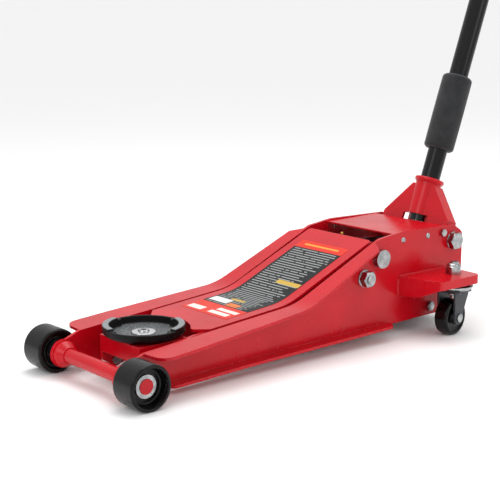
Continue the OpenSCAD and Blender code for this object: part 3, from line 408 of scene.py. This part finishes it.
def bead(path, radius=2.4, pitch=3.0, sides=10):
    """A bead along a path in mm: a tube whose radius is 1 + 0.12 |sin| of the distance over the pitch."""
    path = np.asarray(path, float)
    step = np.linalg.norm(np.diff(path, axis=0), axis=1)
    along = np.concatenate([[0], np.cumsum(step)])
    at = np.linspace(0, along[-1], int(along[-1] / 0.75) + 2)
    line = np.stack([np.interp(at, along, path[:, i]) for i in range(3)], -1)
    ahead = np.gradient(line, axis=0)
    ahead /= np.linalg.norm(ahead, axis=1)[:, None]
    aside = np.cross(ahead, np.where(np.abs(ahead[:, 2:3]) < 0.9, [[0, 0, 1.0]], [[1.0, 0, 0]]))
    aside /= np.linalg.norm(aside, axis=1)[:, None]
    up = np.cross(ahead, aside)
    wide = radius * (0.9 + 0.12 * np.abs(np.sin(np.pi * at / pitch)))
    wide[[0, -1]] = 0.05
    t = np.linspace(0, 2 * np.pi, sides, endpoint=False)
    ring = (np.cos(t)[None, :, None] * aside[:, None] + np.sin(t)[None, :, None] * up[:, None])
    points = line[:, None] + wide[:, None, None] * ring
    return points.reshape(-1, 3) * MM, grid_faces(len(at), sides, wrap_columns=True)


tray_low, tray_high = (np.array(c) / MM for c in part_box("left_caster_bracket"))
web = plate_out / MM
tray_beads = []
for side in (-1, 1):
    top_z, low_z = tray_high[2] - 0.5, tray_high[2] - 16
    tray_beads.append(bead([[tray_high[0] - 3, side * web, top_z], [tray_low[0] + 3, side * web, top_z]]))
    tray_beads.append(bead([[tray_high[0], side * web, tray_low[2] + 2],
                            [tray_high[0], side * web, top_z - 3]]))
    tray_beads.append(bead([[tray_low[0] + 1, side * web, low_z + 1], [tray_low[0] + 1, side * web, top_z - 3]]))
assemble("caster_bracket_welds", tray_beads, red_enamel, "frame")

axle_mid = middle("front_axle") / MM
turn = np.linspace(0, 2 * np.pi, 61)
boss_beads = [bead(np.stack([axle_mid[0] + 14.5 * np.cos(turn), np.full(61, side * (web - 15)),
                             axle_mid[2] + 14.5 * np.sin(turn)], -1), 1.8) for side in (-1, 1)]
assemble("axle_boss_welds", boss_beads, red_enamel, "frame")

sleeve = middle("pivot_sleeve") / MM
sleeve_beads = [bead(np.stack([sleeve[0] + 22.5 * np.cos(turn), np.full(61, side * 69.0),
                               sleeve[2] + 22.5 * np.sin(turn)], -1), 2.0) for side in (-1, 1)]
assemble("arm_sleeve_welds", sleeve_beads, red_enamel, "lift_arm")

# ---- Wheels and casters ----
# Glass-filled nylon, injection moulded black. The skin is smooth with a soft sheen, scuffed dull
# and grey where it rolls. The caster forks are grey-coated pressed steel.


def moulded(name, colour, scuff, rough=0.35, grain_mm=1.2, wear_mm=20, bump=0.15):
    """Moulded polymer or rubber: fine grain, clouded roughness and pale scuffs in patches."""
    material = blank(name)
    place = add(material, "ShaderNodeTexCoord").outputs["Object"]
    worn = ramp(material, noise(material, place, wear_mm, 6, 0.65).outputs[0], 0.52, 0.78)
    rounded = add(material, "ShaderNodeBevel", {"samples": 4, "Radius": 0.8 * MM})
    grain = add(material, "ShaderNodeBump", {"Strength": bump, "Distance": 0.0003},
                {"Height": noise(material, place, grain_mm, 3).outputs[0],
                 "Normal": rounded.outputs["Normal"]})
    rough_out = ramp(material, noise(material, place, 12, 4).outputs[0], 0.35, 0.7, rough, rough + 0.2)
    shader = add(material, "ShaderNodeBsdfPrincipled", {"IOR": 1.53, "Specular IOR Level": 0.22},
                 {"Base Color": mix(material, worn, linear(colour), linear(scuff)),
                  "Roughness": rough_out, "Normal": grain.outputs["Normal"]})
    return finish_material(material, shader)


nylon = moulded("black_glass_filled_nylon", "#040405", "#101112", 0.16, bump=0.05)
paint(nylon, "left_front_wheel", "right_front_wheel", "left_caster_wheel", "right_caster_wheel")
# 77797e on the fork's edges is partly wear and partly a painted highlight.
fork_coat = enamel("grey_fork_coat", "#3d3e43", "#35363a", "#77797e", gloss=0.38)
paint(fork_coat, "left_caster_fork", "right_caster_fork")

# Kingpin nut: a hexagon on the tray with a low domed locking cap pressed over it.
nut_low, nut_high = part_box("caster_nuts")
nuts = []
for side in (-1, 1):
    x = (nut_low.x + nut_high.x) / 2
    base = np.array([x, side * abs(middle("left_caster_wheel")[1]), nut_low.z])
    base[1] = side * (nut_high.y - 27 / math.cos(math.pi / 6) / 2 * MM)
    nuts.append(hexagon(27, 15, base, (0, 0, 1)))
    nuts.append(turned([[0, 14.5], [12.5, 14.5], [12.6, 15.6], [11.8, 18], [9.6, 20], [6, 20.9], [0, 21]],
                       base, (0, 0, 1)))
assemble("kingpin_nuts", nuts, zinc, "frame", ["caster_nuts"])

# ---- Saddle ----
# Cast iron cup, painted black and left rough. The two broad arcs are rubbed pale where a car has
# stood on them, and the floor is grey with grit. A zinc washer and a sunk hexagon screw hold it.


def cast_iron(name, colour, worn, top_z_mm, floor_z_mm):
    """Painted casting: coarse sand texture, rubbed pale on its highest faces, gritty on its floor."""
    material = blank(name)
    place = add(material, "ShaderNodeTexCoord").outputs["Object"]
    height = add(material, "ShaderNodeSeparateXYZ", links={"Vector": place}).outputs["Z"]
    grit = ramp(material, noise(material, place, 1.6, 4, 0.7).outputs[0], 0.40, 0.62)
    near_top = ramp(material, height, (top_z_mm - 1.0) * MM, (top_z_mm - 0.4) * MM)
    near_floor = ramp(material, height, (floor_z_mm + 1.2) * MM, (floor_z_mm + 0.5) * MM)
    up = add(material, "ShaderNodeSeparateXYZ",
             links={"Vector": add(material, "ShaderNodeNewGeometry").outputs["Normal"]}).outputs["Z"]
    upward = ramp(material, up, 0.6, 0.9)
    rubbed = add(material, "ShaderNodeMath", {"operation": "ADD", "use_clamp": True})
    material.node_tree.links.new(near_top, rubbed.inputs[0])
    floor_part = add(material, "ShaderNodeMath", {"operation": "MULTIPLY"})
    material.node_tree.links.new(near_floor, floor_part.inputs[0])
    material.node_tree.links.new(grit, floor_part.inputs[1])
    material.node_tree.links.new(floor_part.outputs[0], rubbed.inputs[1])
    shown = add(material, "ShaderNodeMath", {"operation": "MULTIPLY"})
    material.node_tree.links.new(rubbed.outputs[0], shown.inputs[0])
    material.node_tree.links.new(upward, shown.inputs[1])
    sand = add(material, "ShaderNodeBump", {"Strength": 0.5, "Distance": 0.0005},
               {"Height": noise(material, place, 1.3, 5, 0.7).outputs[0]})
    shader = add(material, "ShaderNodeBsdfPrincipled", {"IOR": 1.5, "Specular IOR Level": 0.2},
                 {"Base Color": mix(material, shown.outputs[0], linear(colour), linear(worn)),
                  "Roughness": ramp(material, grit, 0, 1, 0.25, 0.6), "Normal": sand.outputs["Normal"]})
    return finish_material(material, shader)


saddle_low, saddle_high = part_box("saddle")
saddle_r = (saddle_high.x - saddle_low.x) / 2 / MM
saddle_mid = np.array([(saddle_low.x + saddle_high.x) / 2, 0, 0])
under, top = saddle_low.z / MM, saddle_high.z / MM
pan = under + 6


def saddle_surface(steps=360):
    """Height over radius and angle. The wall stands low all round and full height within 36 degrees
    of -40 and 140; each arc is 11 mm thick, the low wall 4.5 mm, with a step at each arc's end."""
    angle = np.linspace(0, 2 * np.pi, steps, endpoint=False)
    off = np.abs((np.degrees(angle) + 40 + 90) % 180 - 90)
    arc = np.clip((37 - off) / 1.2, 0, 1)
    shoulder = np.clip((46 - off) / 1.2, 0, 1)
    wall_top = top - 3.5 + 3.5 * arc
    wall_in = saddle_r - 4.5 - 7.0 * shoulder
    full = np.ones(steps)
    radius = np.stack([5.1 * full, 5.1 * full, (saddle_r - 21) * full, (saddle_r - 13) * full,
                       (saddle_r - 3) * full, saddle_r * full, saddle_r * full, (saddle_r - 1) * full,
                       wall_in + 1, wall_in, wall_in - 0.8, wall_in - 2.4, 40 * full, 22 * full, 5.1 * full])
    level = np.stack([pan * full, under * full, under * full, (under + 1.2) * full, (under + 6) * full,
                      (under + 10) * full, wall_top - 1, wall_top, wall_top, wall_top - 1.2,
                      (pan + 1.6) * full, pan * full, pan * full, pan * full, pan * full])
    points = np.stack([saddle_mid[0] + radius * np.cos(angle) * MM, radius * np.sin(angle) * MM,
                       level * MM], -1)
    return points.reshape(-1, 3), grid_faces(len(radius), steps, wrap_columns=True)


casting = cast_iron("black_cast_iron", "#060607", "#868a8b", top, pan)
assemble("saddle_casting", [saddle_surface()], casting, "saddle_cup", ["saddle"], 30)

assemble("saddle_disc", [turned([[5, 0], [20.5, 0], [20.5, 1.6], [19.8, 2.5], [10, 2.5], [5, 2.5], [5, 0]],
                                [saddle_mid[0], 0, pan * MM], (0, 0, 1))],
         plated("new_zinc_plate", "#eceeef", "#d4d6d8", 0.22), "saddle_carrier", ["saddle_washer"])
paint(zinc, "saddle_screw")

# ---- Label ----
# A printed vinyl sheet on the arm: a black panel of grey bars in the place of instructions, with a
# red-orange band at each end. The bars are plain blocks and spell nothing.
label_half = 62.0
label_front, label_rear = 224.0, 512.0
origin_back = middle("front_axle")[0] / MM
plate_data = frame["nodes"]["arm_top_plate"].data
plate_points = np.empty(len(plate_data.vertices) * 3)
plate_data.vertices.foreach_get("co", plate_points)
plate_points = plate_points.reshape(-1, 3) / MM
triangles = np.empty(len(plate_data.polygons) * 3, np.int32)
plate_data.polygons.foreach_get("vertices", triangles)
plate_normals = np.empty(len(plate_data.polygons) * 3)
plate_data.polygons.foreach_get("normal", plate_normals)
upward = triangles.reshape(-1, 3)[plate_normals.reshape(-1, 3)[:, 2] > 0.5]
upper_points = plate_points[np.unique(upward)]
plate_back, first = np.unique(np.round(origin_back - upper_points[:, 0], 2), return_index=True)
plate_top = upper_points[first, 2]


def arm_height(back):
    """Height of the arm's top, in mm: straight between the plate's own upper points."""
    return np.interp(back, plate_back, plate_top)


def label_sheet(rows=150, columns=12, lift=0.12, thick=0.25):
    """A closed thin sheet over the arm: the arm's height plus lift below, and plus lift + thick above."""
    back = np.linspace(label_front, label_rear, rows)
    y = np.linspace(-label_half, label_half, columns)
    b, yy = np.meshgrid(back, y, indexing="ij")
    high = arm_height(b)
    upper = np.stack([(origin_back - b) * MM, yy * MM, (high + lift + thick) * MM], -1)
    lower = upper - [0, 0, thick * MM]
    return upper, lower


upper, lower = label_sheet()
rows, columns = upper.shape[:2]
rim = np.concatenate([np.arange(columns), np.arange(1, rows) * columns + columns - 1,
                      (rows - 1) * columns + np.arange(columns - 2, -1, -1),
                      np.arange(rows - 2, 0, -1) * columns])
face = grid_faces(rows, columns)
side_wall = np.stack([rim, np.roll(rim, -1), np.roll(rim, -1) + rows * columns, rim + rows * columns], -1)
label_points = np.concatenate([upper.reshape(-1, 3), lower.reshape(-1, 3)])
label_faces = np.concatenate([face, face[:, ::-1] + rows * columns, side_wall])


def printed_vinyl():
    """Bars in rows 6.4 mm apart across a black panel, read from the sheet's own UV map in metres."""
    material = blank("printed_vinyl")
    uv = add(material, "ShaderNodeUVMap", {"uv_map": "print"}).outputs["UV"]
    parts = add(material, "ShaderNodeSeparateXYZ", links={"Vector": uv})
    along, wide = parts.outputs["X"], parts.outputs["Y"]

    def maths(operation, first, second=None):
        made = add(material, "ShaderNodeMath", {"operation": operation})
        for i, value in enumerate((first, second)):
            if value is None:
                continue
            if isinstance(value, (int, float)):
                made.inputs[i].default_value = value
            else:
                material.node_tree.links.new(value, made.inputs[i])
        return made.outputs[0]

    def between(value, low, high):
        return maths("MULTIPLY", maths("GREATER_THAN", value, low), maths("LESS_THAN", value, high))

    pitch = 6.2 * MM
    row = maths("FLOOR", maths("DIVIDE", along, pitch))
    in_row = maths("FRACT", maths("DIVIDE", along, pitch))
    chance = add(material, "ShaderNodeTexWhiteNoise", {"noise_dimensions": "1D"}, {"W": row}).outputs["Value"]
    reach = maths("MULTIPLY_ADD", chance, 0.022)
    material.node_tree.nodes[-1].inputs[2].default_value = 0.036
    word = maths("FLOOR", maths("DIVIDE", wide, 3.4 * MM))
    joined = maths("ADD", word, maths("MULTIPLY", row, 37.0))
    gap = add(material, "ShaderNodeTexWhiteNoise", {"noise_dimensions": "1D"}, {"W": joined}).outputs["Value"]
    bars = maths("MULTIPLY", between(in_row, 0.34, 0.68), between(wide, -0.056, reach))
    bars = maths("MULTIPLY", bars, maths("GREATER_THAN", gap, 0.07))
    black_panel = between(along, 0.271, 0.491)
    body = mix(material, bars, linear("#0c0d0e"), linear("#9da1a1"))
    for low, high, first, last, colour in ((0.388, 0.398, 0.0, 0.060, "#c9a544"),
                                           (0.303, 0.310, -0.022, 0.013, "#c9a544"),
                                           (0.274, 0.289, -0.004, 0.026, "#d9742c"),
                                           (0.281, 0.300, -0.058, -0.010, "#e2e2e0")):
        body = mix(material, maths("MULTIPLY", between(along, low, high), between(wide, first, last)),
                   body, linear(colour))
    band = linear("#d8301a")
    for low, high, first, last in ((0.231, 0.247, -0.056, -0.018), (0.232, 0.244, 0.0, 0.05),
                                   (0.249, 0.260, 0.004, 0.056)):
        band = mix(material, maths("MULTIPLY", between(along, low, high), between(wide, first, last)),
                   band, linear("#e4dcd6"))
    stripe = maths("MULTIPLY", between(along, 0.500, 0.504), between(wide, -0.045, 0.045))
    band = mix(material, stripe, band, linear("#f0a03c"))
    scuffs = ramp(material, noise(material, add(material, "ShaderNodeTexCoord").outputs["Object"], 30, 6,
                                  0.7).outputs[0], 0.35, 0.7, 0.28, 0.5)
    shader = add(material, "ShaderNodeBsdfPrincipled", {"IOR": 1.5, "Specular IOR Level": 0.2},
                 {"Base Color": mix(material, black_panel, band, body), "Roughness": scuffs})
    return finish_material(material, shader)


label = mesh_piece("arm_label", label_points, label_faces, smooth=False)
label_uv = label.data.uv_layers.new(name="print")
corner_points = np.empty(len(label.data.loops), np.int32)
label.data.loops.foreach_get("vertex_index", corner_points)
back_and_y = np.stack([origin_back * MM - label_points[:, 0], label_points[:, 1]], -1)
label_uv.data.foreach_set("uv", back_and_y[corner_points].ravel())
label.data.materials.append(printed_vinyl())
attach(label, "lift_arm")

# ---- Power unit ----
# A cast pump block with a welded oil tank, a honed steel cylinder and a hard-chromed ram. Castings
# are coarse and grey, ground parts mirror-bright. Coiled wire springs draw the parts back.
block_iron = moulded("painted_block_casting", "#2b2d30", "#45484b", 0.5, 1.8, 30, 0.5)
paint(block_iron, "pump_block")
steel = plated("machined_steel", "#85878a", "#66686b", 0.34)
paint(steel, "hydraulic_cylinder", "gland_nut")
chrome = plated("hard_chrome", "#d9dbde", "#c4c6ca", 0.14, cloud_mm=30)
paint(chrome, "hydraulic_ram", "pump_plungers")
brass = plated("turned_brass", "#c9a24a", "#9c7a34", 0.26)
paint(brass, "release_valve", "grease_nipple")
rubber = moulded("black_rubber", "#121213", "#2a2a2b", 0.55, 0.8, 14, 0.25)
paint(rubber, "filler_plug")
wire = plated("drawn_spring_wire", "#7c7f83", "#5f6265", 0.34)


def coil(start, end, y, z, radius, thick, turns, sides=12):
    """A wire wound round the X axis: centre runs from start to end while the angle makes every turn.
    The first and last turns lie closed, so the pitch there is one wire."""
    count = int(turns * 40)
    s = np.linspace(0, 1, count)
    closed = np.clip(np.minimum(s, 1 - s) * turns - 1, 0, 1)
    pace = thick * 1.02 + closed * 1.0 * max((end - start) / turns - thick, 0) * turns / max(turns - 2, 1)
    x = np.concatenate([[0], np.cumsum((pace[1:] + pace[:-1]) / 2)])
    x = start + thick / 2 + x / x[-1] * (end - start - thick)
    t = s * turns * 2 * np.pi
    out = np.stack([np.zeros(count), np.cos(t), np.sin(t)], -1)
    line = np.stack([x, y + radius * np.cos(t), z + radius * np.sin(t)], -1)
    ahead = np.gradient(line, axis=0)
    ahead /= np.linalg.norm(ahead, axis=1)[:, None]
    other = np.cross(ahead, out)
    other /= np.linalg.norm(other, axis=1)[:, None]
    wide = np.full(count, thick / 2)
    wide[[0, -1]] = 0.02
    a = np.linspace(0, 2 * np.pi, sides, endpoint=False)
    ring = np.cos(a)[None, :, None] * out[:, None] + np.sin(a)[None, :, None] * other[:, None]
    points = line[:, None] + wide[:, None, None] * ring
    return points.reshape(-1, 3) * MM, grid_faces(count, sides, wrap_columns=True)


def spring_pair(name, node, radius, thick, turns):
    """Two springs that fill a CAD node's box, between the frame and a sliding body; they are left with no body."""
    low, high = (np.array(c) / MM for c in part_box(node))
    y = (high[1] - low[1]) / 2 - radius - thick / 2
    parts = [coil(low[0], high[0], side * y, (low[2] + high[2]) / 2, radius, thick, turns)
             for side in (-1, 1)]
    return assemble(name, parts, wire, None, [node]), low, high


draw, low, high = spring_pair("ram_draw_springs", "return_springs", 5.0, 2.0, 36)
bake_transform(draw)
push, low, high = spring_pair("pump_springs", "plunger_springs", 9.2, 2.4, 9)
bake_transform(push)

# ---- Handle ----
# Two steel tubes, powder coated gloss black. The foam sleeve is closed-cell rubber foam with soft
# ends, and the grip is moulded rubber with a ring of grooves and a closed end.
# 2a2b2d on the tubes' edges is partly wear and partly a painted highlight.
tube_coat = enamel("gloss_black_powder_coat", "#040405", "#070708", "#2a2b2d", 1.6, 0.14)
paint(tube_coat, "handle_lower_tube", "handle_upper_tube")

twist = next(j for j in frame["joints"] if j["name"] == "handle_twist")
handle_axis = np.array(twist["axis"])
handle_foot = np.array(twist["pos_m"])


def span_along_handle(node):
    """Where a node starts and ends along the handle, in mm from the yoke's pivot."""
    data = frame["nodes"][node].data
    points = np.empty(len(data.vertices) * 3)
    data.vertices.foreach_get("co", points)
    reach = (points.reshape(-1, 3) - handle_foot) @ handle_axis / MM
    return reach.min(), reach.max()


def foam():
    """Closed-cell foam: a matt dark grey skin with cells about 1 mm across, drawn a little coarse."""
    material = blank("closed_cell_foam")
    place = add(material, "ShaderNodeTexCoord").outputs["Object"]
    cells = add(material, "ShaderNodeTexVoronoi", {"Scale": 1 / (1.6 * MM)}, {"Vector": place})
    pits = add(material, "ShaderNodeBump", {"Strength": 0.35, "Distance": 0.0006},
               {"Height": cells.outputs["Distance"]})
    cloud = ramp(material, noise(material, place, 22, 4).outputs[0], 0.35, 0.7)
    shader = add(material, "ShaderNodeBsdfPrincipled", {"IOR": 1.4, "Sheen Weight": 0.15},
                 {"Base Color": mix(material, cloud, linear("#1f2022"), linear("#2b2c2e")),
                  "Roughness": ramp(material, cells.outputs["Distance"], 0, 0.8, 0.75, 0.92),
                  "Normal": pits.outputs["Normal"]})
    return finish_material(material, shader)


start, end = span_along_handle("handle_bumper")
s = np.linspace(0, 1, 60)
swell = 29.6 + 0.3 * np.sin(np.pi * s) - 4.5 * np.clip(1 - np.minimum(s, 1 - s) * (end - start) / 6, 0, 1) ** 2.2
sleeve_profile = np.concatenate([[[19.05, start + 0.2]], np.stack([swell, start + s * (end - start)], -1),
                                 [[19.05, end - 0.2]], [[19.05, start + 0.2]]])
bumper = assemble("foam_bumper", [turned(sleeve_profile, handle_foot, handle_axis, 72)], foam(),
                  "handle", ["handle_bumper"], 60)

start, end = span_along_handle("handle_grip")
s = np.linspace(0, 1, 330)
length = end - start
groove = 1.3 * np.clip(np.sin(s * length * 2 * np.pi / 9.0) - 0.55, 0, 1) / 0.45
ringed = (s * length > 14) & (s * length < length - 24)
grip_r = 19.6 - np.where(ringed, groove, 0) - 3.0 * np.clip(1 - (1 - s) * length / 3.5, 0, 1) ** 2
grip_profile = np.concatenate([[[16.05, start]], np.stack([grip_r, start + s * length], -1), [[0, end]]])
assemble("rubber_grip", [turned(grip_profile, handle_foot, handle_axis, 72)], rubber, "handle",
         ["handle_grip"], 50)

socket_beads = []
_, u, v = across_axis(handle_axis)
circle = 29.5 * (np.cos(turn)[:, None] * u + np.sin(turn)[:, None] * v)
socket_beads.append(bead(handle_foot / MM + 103 * handle_axis + circle * 25.5 / 29.5, 1.8))
assemble("yoke_collar_weld", socket_beads, red_enamel, "yoke")
